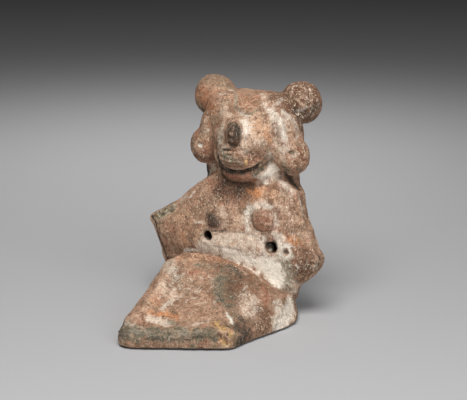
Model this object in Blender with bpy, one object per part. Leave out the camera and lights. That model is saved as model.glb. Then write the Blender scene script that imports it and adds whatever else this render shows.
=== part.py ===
"""Seated clay figurine: a round-eared head, broken arms and legs under a long skirt.

The figurine is one piece of fired clay. It sits on a flat underside, faces -Y and has +Z up. The origin
is on the underside, below the middle of the whole form. All lengths are in metres.
"""

import math
from typing import NamedTuple

import bmesh
import bpy
import numpy as np
from mathutils import Matrix, Vector

# Driving sizes
FIGURE_HEIGHT = 0.100  # underside to the top of the hair buns
LEFT_HOLE_WIDTH = 0.0048  # round hole under the breast at -X
RIGHT_HOLE_WIDTH = 0.0054  # round hole under the breast at +X
SMALL_HOLE_WIDTH = 0.0024  # smaller hole beside it
HOLE_DEPTH = 0.009  # both round holes, from the skin of the belly
SMALL_HOLE_DEPTH = 0.0015  # the small one is nearly full of clay
CLAY_GRAIN = 0.0009  # voxel that fuses the forms, as finely as the clay was smoothed
THUMB_PASSES = 3  # how often the joins are smoothed over
FACET_LIMIT = 0.125  # share of the fused surface's facets that the solid keeps
SLIVER = 0.00008  # corners closer together than this are joined after the cuts

# The pose and the proportions are written in parts of the figure's height. 100 parts make the whole
# height, so a part is a millimetre on the figure at its real size.
PART = FIGURE_HEIGHT / 100.0
MIDDLE = 3.6  # place across of the middle of the trunk and head
RING_POINTS = 44  # points around each cut of a form
STEPS_BETWEEN = 5  # rings from one cut to the next


class SkirtCut(NamedTuple):
    """A cut across the legs and hips, upright and facing the feet."""

    along: float  # place from front to back
    left: float
    right: float
    edge: float  # height of the upright edges
    crest_at: float  # place across of the highest point
    crest: float  # its height
    full_left: float  # 1.5 is a straight slope, 4 a boxy one
    full_right: float


class TrunkCut(NamedTuple):
    """A level cut across the trunk and the stumps of both arms."""

    height: float
    left: float
    right: float
    front: float
    back: float


class HeadCut(NamedTuple):
    """A level cut across the head behind the face."""

    height: float
    half_width: float
    front: float
    back: float


SKIRT = (
    SkirtCut(-37.4, -15.0, 15.0, 1.0, 4.0, 4.8, 2.5, 2.5),
    SkirtCut(-36.8, -19.0, 18.8, 2.4, 8.0, 7.8, 4.0, 5.0),
    SkirtCut(-35.4, -22.4, 20.6, 3.8, 10.0, 8.7, 5.5, 6.5),
    SkirtCut(-32.4, -25.4, 21.2, 5.0, 4.0, 8.9, 7.0, 6.0),
    SkirtCut(-28.8, -26.8, 21.8, 5.5, -4.0, 9.5, 7.0, 4.0),
    SkirtCut(-24.0, -26.6, 22.8, 5.5, -9.0, 11.8, 5.0, 2.8),
    SkirtCut(-17.0, -27.4, 24.4, 5.5, -12.0, 15.6, 4.5, 2.2),
    SkirtCut(-9.0, -27.8, 26.4, 4.5, -13.0, 20.0, 4.5, 1.9),
    SkirtCut(-1.0, -28.0, 28.8, 3.5, -14.0, 24.6, 4.5, 1.9),
    SkirtCut(5.0, -28.0, 30.6, 3.0, -13.0, 27.2, 4.5, 2.0),
    SkirtCut(9.5, -27.6, 31.2, 3.0, -12.0, 27.0, 4.0, 2.1),
    SkirtCut(14.0, -27.0, 31.0, 3.0, -9.0, 22.6, 3.5, 2.2),
    SkirtCut(22.0, -25.0, 28.4, 3.0, 0.0, 22.0, 3.0, 2.5),
    SkirtCut(30.0, -20.0, 23.0, 3.0, 2.0, 20.0, 2.6, 2.6),
    SkirtCut(35.5, -12.0, 15.5, 3.0, 2.0, 16.0, 2.2, 2.2),
    SkirtCut(38.2, -4.0, 8.0, 3.0, 2.0, 9.0, 2.0, 2.0),
)
TOE_SLANT = 0.40  # how far the toes' edge runs back for each part across
TOE_SLANT_ENDS = -4.0  # place along where the slant has gone
TOE_SLANT_PIVOT = 2.0  # place across that the slant leaves where it is
BELOW_TABLE = 4.0  # how far the forms reach below the cut of the underside

TRUNK = (
    TrunkCut(8.0, -24.0, 26.0, 14.0, 38.0),
    TrunkCut(13.5, -31.0, 28.6, 13.0, 38.5),
    TrunkCut(18.0, -35.3, 34.6, 14.6, 38.0),
    TrunkCut(24.5, -37.6, 38.2, 14.4, 36.5),
    TrunkCut(31.0, -40.2, 36.4, 13.0, 35.5),
    TrunkCut(36.0, -42.6, 34.6, 13.5, 35.5),
    TrunkCut(37.8, -43.0, 34.0, 13.7, 35.6),
    TrunkCut(40.0, -39.4, 33.0, 14.0, 36.0),
    TrunkCut(44.6, -31.8, 31.4, 14.6, 36.5),
    TrunkCut(49.0, -26.0, 30.4, 15.4, 36.8),
    TrunkCut(53.5, -20.6, 29.8, 16.6, 36.8),
    TrunkCut(56.5, -16.6, 28.2, 17.8, 36.0),
    TrunkCut(59.0, -12.0, 22.0, 19.5, 35.0),
    TrunkCut(60.5, -6.0, 14.0, 21.0, 33.0),
)
STUMP_THICKNESS = 8.6  # clay at the broken edges of the arms
STUMP_MIDDLE = 25.0  # place along of the middle of the broken edges
TRUNK_BOW = 2.4  # 2 bows evenly and a larger number is flatter in the middle

HEAD = (
    HeadCut(50.0, 20.0, 26.0, 36.5),
    HeadCut(57.0, 21.4, 24.0, 38.0),
    HeadCut(63.0, 21.0, 20.5, 39.0),
    HeadCut(70.0, 20.6, 18.5, 40.0),
    HeadCut(77.0, 21.0, 17.0, 40.8),
    HeadCut(84.0, 20.4, 15.8, 41.2),
    HeadCut(90.0, 19.2, 16.4, 40.6),
    HeadCut(93.8, 17.0, 19.5, 38.5),
    HeadCut(95.8, 12.0, 24.0, 34.5),
)
HEAD_BOXINESS = 2.8  # 2 is an ellipse and a larger number is boxier

# Rounded lumps of clay pressed onto the forms: the centre, then the three radii. The locks of hair run
# down from the buns to the ear discs.
LUMPS = {
    "face": ((MIDDLE + 1.0, 18.8, 76.4), (14.0, 11.4, 12.0)),
    "muzzle": ((MIDDLE + 0.2, 17.4, 70.6), (12.2, 10.4, 7.8)),
    "nose": ((MIDDLE - 0.2, 10.6, 80.6), (3.9, 6.2, 6.8)),
    "jaw": ((MIDDLE + 1.2, 20.0, 63.2), (11.6, 8.0, 5.0)),
    "neck": ((MIDDLE + 0.6, 26.0, 60.0), (15.0, 9.0, 12.0)),
    "hair_left": ((MIDDLE - 16.6, 23.4, 78.0), (5.2, 6.4, 11.0)),
    "hair_right": ((MIDDLE + 20.4, 23.0, 78.0), (5.4, 7.2, 11.0)),
    "ear_disc_left": ((MIDDLE - 18.8, 21.5, 72.0), (7.0, 5.6, 8.2)),
    "ear_disc_right": ((MIDDLE + 21.6, 21.5, 71.0), (8.2, 6.0, 8.6)),
    "bun_left": ((MIDDLE - 19.4, 34.0, 91.7), (9.4, 9.4, 9.4)),
    "bun_right": ((MIDDLE + 20.5, 34.0, 91.4), (9.2, 9.2, 9.2)),
    "breast_left": ((-7.3, 14.8, 40.9), (3.6, 3.0, 4.0)),
    "breast_right": ((15.0, 15.4, 43.0), (5.0, 2.9, 5.0)),
}

# Holes in the belly: place across, height, width and depth.
HOLES = {
    "hole_left": (-10.8, 33.7, LEFT_HOLE_WIDTH, HOLE_DEPTH),
    "hole_right": (18.3, 31.4, RIGHT_HOLE_WIDTH, HOLE_DEPTH),
    "hole_small": (24.8, 29.7, SMALL_HOLE_WIDTH, SMALL_HOLE_DEPTH),
}
HOLE_SIDES = 16

# Round dents in the ear discs: the centre of the finger end that made each, then its radius.
DENTS = {
    "dent_left": ((MIDDLE - 19.2, 14.8, 72.8), 2.2),
    "dent_right": ((MIDDLE + 23.8, 14.7, 73.3), 2.2),
}

# The tip of the nose is knocked off along a flat break, given by a point on it and the way that it faces.
NOSE_BREAK_AT = (MIDDLE - 1.4, 6.2, 79.6)
NOSE_BREAK_FACES = (-0.60, -0.78, -0.12)
NOSE_BREAK_SIZE = 9.0

CLAY_COLOUR = (0.36, 0.20, 0.12, 1.0)
CLAY_ROUGHNESS = 0.85


def clear_scene():
    """Removes whatever the file holds."""
    for item in list(bpy.data.objects):
        bpy.data.objects.remove(item, do_unlink=True)


def cuts_between(cuts):
    """The cuts of a form, with more of them in between on a smooth curve."""
    table = np.array(cuts, float)
    padded = np.vstack((2 * table[0] - table[1], table, 2 * table[-1] - table[-2]))
    finer = []
    for index in range(len(table) - 1):
        before, start, end, after = padded[index : index + 4]
        leaving = (end - before) / 2
        arriving = (after - start) / 2
        for step in range(STEPS_BETWEEN):
            t = step / STEPS_BETWEEN
            from_start = (2 * t**3 - 3 * t**2 + 1) * start + (t**3 - 2 * t**2 + t) * leaving
            to_end = (3 * t**2 - 2 * t**3) * end + (t**3 - t**2) * arriving
            finer.append(from_start + to_end)
    finer.append(table[-1])
    return [type(cuts[0])(*row) for row in finer]


def skin_over(mesh, rings):
    """Adds a closed body to the mesh, skinned over rings that all have as many points."""
    loops = []
    for ring in rings:
        loops.append([mesh.verts.new(Vector(point) * PART) for point in ring])
    for lower, upper in zip(loops, loops[1:]):
        for index in range(len(lower)):
            following = (index + 1) % len(lower)
            mesh.faces.new((lower[index], lower[following], upper[following], upper[index]))
    mesh.faces.new(reversed(loops[0]))
    mesh.faces.new(loops[-1])


def skirt_ring(cut):
    """Outline across the legs: level below, upright at the edges and arched above."""
    slant = TOE_SLANT * min(1.0, max(0.0, (TOE_SLANT_ENDS - cut.along) / (TOE_SLANT_ENDS - SKIRT[0].along)))
    ring = [(cut.right, -BELOW_TABLE), (cut.left, -BELOW_TABLE)]
    for share in np.linspace(-1.0, 1.0, RING_POINTS - 2):
        reach = cut.crest_at - cut.left if share < 0 else cut.right - cut.crest_at
        fullness = cut.full_left if share < 0 else cut.full_right
        rise = (1.0 - abs(share) ** fullness) ** (0.5 + 0.5 / fullness)
        ring.append((cut.crest_at + reach * share, cut.edge + (cut.crest - cut.edge) * rise))
    return [(across, cut.along + slant * (across - TOE_SLANT_PIVOT), height) for across, height in ring]


def trunk_skin(cut, across):
    """Places along of the trunk's front and back, which bow out from the blunt broken edges."""
    share = (2 * across - cut.left - cut.right) / (cut.right - cut.left)
    bow = 1.0 - abs(share) ** TRUNK_BOW
    edge_front = STUMP_MIDDLE - STUMP_THICKNESS / 2
    edge_back = STUMP_MIDDLE + STUMP_THICKNESS / 2
    return edge_front + (cut.front - edge_front) * bow, edge_back + (cut.back - edge_back) * bow


def trunk_ring(cut):
    """Outline across the trunk, along its front and back again behind."""
    in_front = []
    behind = []
    for across in np.linspace(cut.left, cut.right, RING_POINTS // 2):
        front, back = trunk_skin(cut, across)
        in_front.append((across, front, cut.height))
        behind.append((across, back, cut.height))
    return in_front + behind[::-1]


def head_ring(cut):
    """Outline across the head: a rounded oblong."""
    middle = (cut.front + cut.back) / 2
    half_depth = (cut.back - cut.front) / 2
    power = 2 / HEAD_BOXINESS
    ring = []
    for turn in np.linspace(0.0, 2 * math.pi, RING_POINTS, endpoint=False):
        across = math.copysign(abs(math.cos(turn)) ** power, math.cos(turn))
        along = math.copysign(abs(math.sin(turn)) ** power, math.sin(turn))
        ring.append((MIDDLE + cut.half_width * across, middle + half_depth * along, cut.height))
    return ring


def add_lump(mesh, centre, radii):
    """Adds an egg-shaped lump."""
    place = Matrix.Translation(Vector(centre) * PART) @ Matrix.Diagonal((*(Vector(radii) * PART), 1.0))
    bmesh.ops.create_uvsphere(mesh, u_segments=32, v_segments=20, radius=1.0, matrix=place)


def cutter_from(name, mesh, body):
    """A hidden shape that is cut out of the body and moves with it."""
    bmesh.ops.recalc_face_normals(mesh, faces=mesh.faces)
    data = bpy.data.meshes.new(name)
    mesh.to_mesh(data)
    mesh.free()
    cutter = bpy.data.objects.new(name, data)
    cutter.hide_render = True
    cutter.display_type = "WIRE"
    cutter.parent = body
    bpy.context.scene.collection.objects.link(cutter)
    cut = body.modifiers.new(name, "BOOLEAN")
    cut.operation = "DIFFERENCE"
    cut.solver = "EXACT"
    cut.object = cutter
    return cutter


def cut_underside(body):
    """Cuts the underside flat with a block that is wider than the figurine and whose top is the table."""
    side = FIGURE_HEIGHT * 2
    mesh = bmesh.new()
    place = Matrix.Translation((0.0, 0.0, -side / 2)) @ Matrix.Scale(side, 4)
    bmesh.ops.create_cube(mesh, size=1.0, matrix=place)
    cutter_from("table", mesh, body)


def cut_hole(body, name, across, height, width, depth):
    """Cuts a blind round hole straight into the belly."""
    nearest = min(cuts_between(TRUNK), key=lambda cut: abs(cut.height - height))
    skin = trunk_skin(nearest, across)[0] * PART
    lead_in = 2 * width
    mesh = bmesh.new()
    place = Matrix.Translation((across * PART, skin + (depth - lead_in) / 2, height * PART))
    bmesh.ops.create_cone(
        mesh,
        cap_ends=True,
        segments=HOLE_SIDES,
        radius1=width / 2,
        radius2=width / 2,
        depth=depth + lead_in,
        matrix=place @ Matrix.Rotation(math.pi / 2, 4, "X"),
    )
    cutter_from(name, mesh, body)


def cut_dent(body, name, centre, radius):
    """Presses a round dent."""
    mesh = bmesh.new()
    place = Matrix.Translation(Vector(centre) * PART)
    bmesh.ops.create_icosphere(mesh, subdivisions=2, radius=radius * PART, matrix=place)
    cutter_from(name, mesh, body)


def cut_nose_break(body):
    """Cuts the tip of the nose off flat with a block that has one face on the break."""
    facing = Vector(NOSE_BREAK_FACES).normalized()
    turn = facing.to_track_quat("Z", "Y").to_matrix().to_4x4()
    middle = Vector(NOSE_BREAK_AT) + facing * NOSE_BREAK_SIZE / 2
    mesh = bmesh.new()
    place = Matrix.Translation(middle * PART) @ turn @ Matrix.Scale(NOSE_BREAK_SIZE * PART, 4)
    bmesh.ops.create_cube(mesh, size=1.0, matrix=place)
    cutter_from("nose_break", mesh, body)


def clay():
    """Fired clay, matt and brown."""
    material = bpy.data.materials.new("fired_clay")
    material.use_nodes = True
    shader = material.node_tree.nodes["Principled BSDF"]
    shader.inputs["Base Color"].default_value = CLAY_COLOUR
    shader.inputs["Roughness"].default_value = CLAY_ROUGHNESS
    shader.inputs["Metallic"].default_value = 0.0
    return material


def build_figurine():
    """The whole figurine as one fused body."""
    forms = bmesh.new()
    skin_over(forms, [skirt_ring(cut) for cut in cuts_between(SKIRT)])
    skin_over(forms, [trunk_ring(cut) for cut in cuts_between(TRUNK)])
    skin_over(forms, [head_ring(cut) for cut in cuts_between(HEAD)])
    for centre, radii in LUMPS.values():
        add_lump(forms, centre, radii)
    bmesh.ops.recalc_face_normals(forms, faces=forms.faces)
    data = bpy.data.meshes.new("figurine")
    forms.to_mesh(data)
    forms.free()
    data.materials.append(clay())
    figurine = bpy.data.objects.new("figurine", data)
    bpy.context.scene.collection.objects.link(figurine)

    fuse = figurine.modifiers.new("fuse", "REMESH")
    fuse.mode = "VOXEL"
    fuse.voxel_size = CLAY_GRAIN
    thumb = figurine.modifiers.new("thumb", "SMOOTH")
    thumb.factor = 0.5
    thumb.iterations = THUMB_PASSES
    facets = figurine.modifiers.new("facets", "DECIMATE")
    facets.ratio = FACET_LIMIT
    cut_underside(figurine)
    for name, hole in HOLES.items():
        cut_hole(figurine, name, *hole)
    for name, dent in DENTS.items():
        cut_dent(figurine, name, *dent)
    cut_nose_break(figurine)
    join = figurine.modifiers.new("slivers", "WELD")
    join.merge_threshold = SLIVER
    figurine.modifiers.new("triangles", "TRIANGULATE")
    return figurine


def stand_on_origin(body):
    """Moves the body so that the origin is under the middle of its box."""
    bpy.context.view_layer.update()
    evaluated = body.evaluated_get(bpy.context.evaluated_depsgraph_get())
    corners = np.array([corner.co for corner in evaluated.to_mesh().vertices])
    middle = (corners.min(axis=0) + corners.max(axis=0)) / 2
    evaluated.to_mesh_clear()
    body.location = (-middle[0], -middle[1], 0.0)


clear_scene()
stand_on_origin(build_figurine())
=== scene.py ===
"""Studio scene of a small seated figurine of worn, speckled fired clay.

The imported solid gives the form. The clay skin is worked out from it as a finer surface with its pits,
creases, breaks and stains, and the studio gives it a pale floor, soft light and the camera of the
photograph.
"""

import logging
import math
from dataclasses import dataclass, field
from enum import Enum
from typing import Sequence, Union

import bmesh
import bpy
import numpy as np
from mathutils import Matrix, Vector
from mathutils.bvhtree import BVHTree


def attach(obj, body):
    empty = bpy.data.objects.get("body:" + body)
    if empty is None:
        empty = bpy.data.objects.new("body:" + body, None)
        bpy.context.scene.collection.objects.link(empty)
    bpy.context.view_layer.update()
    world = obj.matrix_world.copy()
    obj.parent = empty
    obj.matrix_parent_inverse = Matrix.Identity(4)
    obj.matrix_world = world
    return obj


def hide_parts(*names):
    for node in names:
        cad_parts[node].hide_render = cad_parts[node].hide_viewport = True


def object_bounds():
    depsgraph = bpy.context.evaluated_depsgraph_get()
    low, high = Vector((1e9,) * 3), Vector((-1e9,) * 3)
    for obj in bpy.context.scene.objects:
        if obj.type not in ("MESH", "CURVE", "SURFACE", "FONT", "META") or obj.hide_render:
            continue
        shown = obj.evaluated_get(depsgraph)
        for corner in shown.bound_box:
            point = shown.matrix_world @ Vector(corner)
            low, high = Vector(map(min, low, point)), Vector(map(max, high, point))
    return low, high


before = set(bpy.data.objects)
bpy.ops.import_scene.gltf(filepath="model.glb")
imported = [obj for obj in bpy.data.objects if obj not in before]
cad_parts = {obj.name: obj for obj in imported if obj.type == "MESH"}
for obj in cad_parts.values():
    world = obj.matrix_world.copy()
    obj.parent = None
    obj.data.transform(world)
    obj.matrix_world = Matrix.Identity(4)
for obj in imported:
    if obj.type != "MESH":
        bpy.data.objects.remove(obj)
CAD_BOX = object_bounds()

logging.basicConfig(level=logging.INFO, format="%(message)s")
log = logging.getLogger("figurine")

MM = 0.001  # the sizes below are in millimetres and the scene is in metres
SOFT = 1.9  # how many of its widths a soft mark's stain reaches, while its relief ends at one
CRISP = 1.15  # the same for a mark with a sharp edge
PHOTO_SIZE = (467, 400)  # pixels of the photograph, which places on it are given in

Pixel = tuple[float, float]
Colour = tuple[float, float, float]


def linear(red: int, green: int, blue: int) -> Colour:
    """Turns a colour as a screen shows it into the light that it stands for.

    Args:
        red: Red from 0 to 255.
        green: Green from 0 to 255.
        blue: Blue from 0 to 255.

    Returns:
        The three linear shares, each from 0 to 1.
    """
    shares = []
    for level in (red, green, blue):
        share = level / 255
        shares.append(share / 12.92 if share <= 0.04045 else ((share + 0.055) / 1.055) ** 2.4)
    return (shares[0], shares[1], shares[2])


class Tie(Enum):
    """How two values are tied together by a Math node."""

    ADD = "ADD"
    SUBTRACT = "SUBTRACT"
    MULTIPLY = "MULTIPLY"


class Stain(Enum):
    """What lies on or shows in the clay, together with the painted shade laid into it, each kept as one value
    per corner of the skin.
    """

    LIME = "lime"
    PALE = "pale"
    OCHRE = "ochre"
    ROSE = "rose"
    CREAM = "cream"
    MOSS = "moss"
    # Umber earth, and also painted shade on undersides and in creases
    UMBER_AND_SHADE = "umber"
    # Real soot, and also painted shadow in gaps, grooves, holes and along the foot
    SOOT_AND_SHADE = "soot"
    SPECKS = "specks"
    # Painted shade that darkens the creases and hollows
    CREASE_SHADE = "hollow"
    RUBBED = "rubbed"


class Wash:
    """Value of a shader socket that Python's own operators work on."""

    def __init__(self, paint: "Paint", socket: bpy.types.NodeSocket) -> None:
        """Wraps a socket of the paint's node tree."""
        self.paint = paint
        self.socket = socket

    def tied(self, tie: Tie, first: "Value", second: "Value") -> "Wash":
        """Ties two values with a Math node."""
        return self.paint.node("ShaderNodeMath", {"operation": tie.value}, {0: first, 1: second})

    def __add__(self, other: "Value") -> "Wash":
        """This value and another."""
        return self.tied(Tie.ADD, self, other)

    def __radd__(self, other: "Value") -> "Wash":
        """Another value and this one."""
        return self.tied(Tie.ADD, other, self)

    def __sub__(self, other: "Value") -> "Wash":
        """This value less another."""
        return self.tied(Tie.SUBTRACT, self, other)

    def __rsub__(self, other: "Value") -> "Wash":
        """Another value less this one."""
        return self.tied(Tie.SUBTRACT, other, self)

    def __mul__(self, other: "Value") -> "Wash":
        """This value times another."""
        return self.tied(Tie.MULTIPLY, self, other)

    def rise(self, low: float, high: float) -> "Wash":
        """Goes smoothly from 0 to 1 as the value does from low to high.

        Args:
            low: The value that gives 0.
            high: The value that gives 1, which may be the lower one.

        Returns:
            The share.
        """
        settings = {"interpolation_type": "SMOOTHSTEP", "clamp": True}
        sockets = {"Value": self, "From Min": low, "From Max": high, "To Min": 0.0, "To Max": 1.0}
        return self.paint.node("ShaderNodeMapRange", settings, sockets)


Value = Union[Wash, float]


class Paint:
    """A material's node tree, filled from Python expressions."""

    def __init__(self, name: str) -> None:
        """Makes an empty material with its shader and output.

        Args:
            name: The material's name.
        """
        self.material = bpy.data.materials.new(name)
        self.material.use_nodes = True
        self.tree = self.material.node_tree
        self.tree.nodes.clear()
        self.shader = self.tree.nodes.new("ShaderNodeBsdfPrincipled")
        output = self.tree.nodes.new("ShaderNodeOutputMaterial")
        self.tree.links.new(self.shader.outputs["BSDF"], output.inputs["Surface"])
        self.place = self.node("ShaderNodeTexCoord", {}, {}, "Object")

    def node(self, kind: str, settings: dict, sockets: dict, output: Union[str, int] = 0) -> Wash:
        """Adds a node.

        Args:
            kind: The node's type.
            settings: Its properties, which are set first.
            sockets: A value or a link for each input, by name or number.
            output: The output that is wanted.

        Returns:
            That output.
        """
        made = self.tree.nodes.new(kind)
        for key, value in settings.items():
            setattr(made, key, value)
        for key, value in sockets.items():
            self.feed(made.inputs[key], value)
        return Wash(self, made.outputs[output])

    def feed(self, socket: bpy.types.NodeSocket, value: Union[Wash, float, Sequence[float]]) -> None:
        """Links a value to an input, or sets the input's own value.

        Args:
            socket: The input.
            value: Another node's output, or a number, a colour or a direction.
        """
        if isinstance(value, Wash):
            self.tree.links.new(value.socket, socket)
        elif isinstance(value, (tuple, list)) and len(value) == 3 and socket.type == "RGBA":
            socket.default_value = (*value, 1.0)
        else:
            socket.default_value = value

    def noise(
        self,
        grain: float,
        detail: float = 2.0,
        roughness: float = 0.5,
        twist: float = 0.0,
        place: Union[Wash, None] = None,
    ) -> Wash:
        """Cloudy noise.

        Args:
            grain: About how many millimetres its lumps are across.
            detail: How many finer noises are added to it.
            roughness: How strong the finer ones are.
            twist: How far it is twisted.
            place: Where it is read, if not simply at the place on the object.

        Returns:
            The noise, from 0 to 1 and mostly near a half.
        """
        sockets = {
            "Vector": self.place if place is None else place,
            "Scale": 1 / (grain * MM),
            "Detail": detail,
            "Roughness": roughness,
            "Distortion": twist,
        }
        return self.node("ShaderNodeTexNoise", {"noise_dimensions": "3D"}, sockets)

    def strokes(self, grain: float, stretch: float, turn: tuple[float, float, float]) -> Wash:
        """Noise drawn out into short strokes.

        Args:
            grain: A stroke's width in millimetres.
            stretch: How many times longer than wide it is.
            turn: How the strokes are turned, in radians about each axis.

        Returns:
            The noise, from 0 to 1 and mostly near a half.
        """
        drawn = {"Vector": self.place, "Rotation": turn, "Scale": (1.0, 1.0, 1 / stretch)}
        place = self.node("ShaderNodeMapping", {"vector_type": "POINT"}, drawn)
        return self.noise(grain, 2.0, 0.6, 0.3, place)

    def stain(self, stain: Stain) -> Wash:
        """How much of a stain lies at each place of the skin."""
        return self.node("ShaderNodeAttribute", {"attribute_name": stain.value}, {}, "Fac")

    def blend(self, share: Value, below: Union[Wash, Colour], above: Union[Wash, Colour]) -> Wash:
        """Lays one colour over another.

        Args:
            share: How much of the upper one shows, from 0 to 1.
            below: The lower colour.
            above: The upper colour.

        Returns:
            The colour that both make.
        """
        settings = {"data_type": "RGBA", "clamp_factor": True}
        return self.node("ShaderNodeMix", settings, {0: share, 6: below, 7: above}, 2)

    def shade(self, colour: Wash, share: Value) -> Wash:
        """Makes a colour lighter or darker by a share that is 1 for no change."""
        return self.node("ShaderNodeVectorMath", {"operation": "SCALE"}, {0: colour, "Scale": share})


@dataclass(frozen=True)
class ClayFinish:
    """Worn fired clay: brown to pink-tan and finely speckled, under lime, soot, painted shade and coloured
    earths.
    """

    brown: Colour = linear(136, 104, 82)
    tan: Colour = linear(186, 150, 124)
    # Umber, also used as painted shade in creases and under things
    umber: Colour = linear(96, 66, 48)
    rose: Colour = linear(172, 108, 84)
    pale: Colour = linear(214, 182, 156)
    ochre: Colour = linear(206, 136, 84)
    lime: Colour = linear(242, 232, 217)
    # Soot black, also used as painted shadow
    soot: Colour = linear(58, 52, 46)
    moss: Colour = linear(120, 118, 98)
    cream: Colour = linear(224, 184, 118)
    chalk: Colour = linear(234, 214, 188)
    roughness: float = 0.84

    def material(self) -> bpy.types.Material:
        """Mixes the clay's colours from cloudy noise, then lays each stain over them with a broken edge.

        Returns:
            The material.
        """
        paint = Paint("fired_clay")
        broad = paint.noise(11.0, 3.0, 0.55, 0.3)
        patchy = paint.noise(3.6, 4.0, 0.62, 0.4)
        grit = paint.noise(1.5, 4.0, 0.72)
        sand = paint.noise(0.85, 3.0, 0.75)
        falling = paint.strokes(0.55, 6.0, (0.5, 0.7, 0.2))
        rising = paint.strokes(0.6, 5.0, (-0.6, 0.9, 1.3))
        scratches = falling * 0.5 + rising * 0.5
        uneven = patchy * 0.5 + grit * 0.5

        # The fired body and its earth colours, with edges rubbed pale and painted shade darkening the creases
        # and hollows
        colour = paint.blend((broad * 0.4 + patchy * 0.6).rise(0.4, 0.61), self.brown, self.tan)
        colour = paint.blend(paint.noise(6.5, 3.0, 0.6, 0.8).rise(0.5, 0.7) * 0.4, colour, self.rose)
        colour = paint.blend(paint.noise(7.5, 3.0, 0.6, 0.5).rise(0.52, 0.72) * 0.4, colour, self.moss)
        earths = (
            (Stain.ROSE, self.rose, 0.85, 0.1),
            (Stain.OCHRE, self.ochre, 0.85, 0.25),
            (Stain.PALE, self.pale, 0.75, 0.25),
            (Stain.UMBER_AND_SHADE, self.umber, 0.85, 0.2),
        )
        for stain, over, most, broken in earths:
            colour = self.laid(paint, colour, stain, over, uneven, most, broken)
        colour = paint.blend(paint.stain(Stain.RUBBED).rise(0.15, 1.0) * 0.45, colour, self.pale)
        colour = paint.blend(paint.stain(Stain.CREASE_SHADE).rise(0.1, 1.0) * 0.75, colour, self.umber)

        # Dark grains, deposits, and lime as a streaky film with crumbs, then soot and painted shadow over all
        colour = paint.blend(sand.rise(0.45, 0.37) * 0.55, colour, self.umber)
        colour = self.laid(paint, colour, Stain.CREAM, self.cream, uneven, 0.9, 0.35)
        colour = self.laid(paint, colour, Stain.MOSS, self.moss, uneven, 0.8, 0.3)
        haze = paint.stain(Stain.LIME)
        streaky = patchy * 0.35 + grit * 0.25 + scratches * 0.4
        film = (haze + (streaky - 0.5) * 3.4).rise(0.0, 1.05) * haze.rise(0.0, 0.2)
        colour = paint.blend(film * (0.64 + haze.rise(0.75, 1.0) * 0.34), colour, self.lime)
        crumbs = (haze * 0.8 + (grit * 0.4 + sand * 0.6 - 0.5) * 3.4).rise(0.62, 1.0)
        colour = paint.blend(crumbs * haze.rise(0.0, 0.15) * 0.85, colour, self.lime)
        colour = self.laid(paint, colour, Stain.SOOT_AND_SHADE, self.soot, uneven, 0.92, 0.12)

        # Chalky specks and scratches, fewer where it is sooty or painted in shadow
        specks = paint.stain(Stain.SPECKS)
        fleck = (grit * 0.3 + paint.noise(0.7, 2.0, 0.7) * 0.7 + specks * 0.026).rise(0.565, 0.63)
        free_of_soot_and_shade = 1.0 - paint.stain(Stain.SOOT_AND_SHADE).rise(0.2, 0.8) * 0.75
        share = fleck * free_of_soot_and_shade * (0.25 + patchy.rise(0.45, 0.62) * 0.4 + specks * 0.35)
        colour = paint.blend(share, colour, self.chalk)
        scraped = scratches.rise(0.565, 0.62) * patchy.rise(0.42, 0.6)
        colour = paint.blend(scraped * (0.4 + specks * 0.4), colour, self.chalk)
        colour = paint.shade(colour, 1.02 + (sand - 0.5) * (1.9 - film * 1.1))
        paint.feed(paint.shader.inputs["Base Color"], colour)

        # The finest relief
        paint.feed(paint.shader.inputs["Roughness"], self.roughness + (grit - 0.5) * 0.3)
        paint.shader.inputs["Specular IOR Level"].default_value = 0.3
        height = grit * 0.9 + sand * 0.7 + fleck * 0.12 + scratches * 0.5
        sockets = {"Height": height, "Strength": 1.0, "Distance": 0.5 * MM}
        paint.feed(paint.shader.inputs["Normal"], paint.node("ShaderNodeBump", {}, sockets))
        return paint.material

    def laid(
        self, paint: Paint, colour: Wash, stain: Stain, over: Colour, cloud: Wash, most: float, broken: float
    ) -> Wash:
        """Lays a stain over a colour.

        Args:
            paint: The material that is being mixed.
            colour: The colour below.
            stain: Where the stain is.
            over: The stain's colour.
            cloud: Noise around a half that the stain follows.
            most: How much the stain hides where it is thickest.
            broken: 0 for a stain that fades out softly, and 1 for one that breaks up into crumbs.

        Returns:
            The colour with the stain on it.
        """
        amount = paint.stain(stain)
        share = (amount + (cloud - 0.5) * (2.6 + 3.6 * broken)).rise(0.3 * broken, 1.1 - 0.3 * broken)
        return paint.blend(share * amount.rise(0.0, 0.12) * most, colour, over)


@dataclass(frozen=True)
class FloorFinish:
    """Matt pale grey paper."""

    tone: Colour = linear(190, 190, 192)
    roughness: float = 0.9

    def material(self) -> bpy.types.Material:
        """The paper, with a faint unevenness.

        Returns:
            The material.
        """
        paint = Paint("studio_paper")
        cloud = paint.noise(240.0, 2.0)
        darker = tuple(0.8 * share for share in self.tone)
        colour = paint.blend(cloud.rise(0.3, 0.7) * 0.06, self.tone, darker)
        paint.feed(paint.shader.inputs["Base Color"], colour)
        paint.shader.inputs["Roughness"].default_value = self.roughness
        paint.shader.inputs["Specular IOR Level"].default_value = 0.2
        return paint.material


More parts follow.
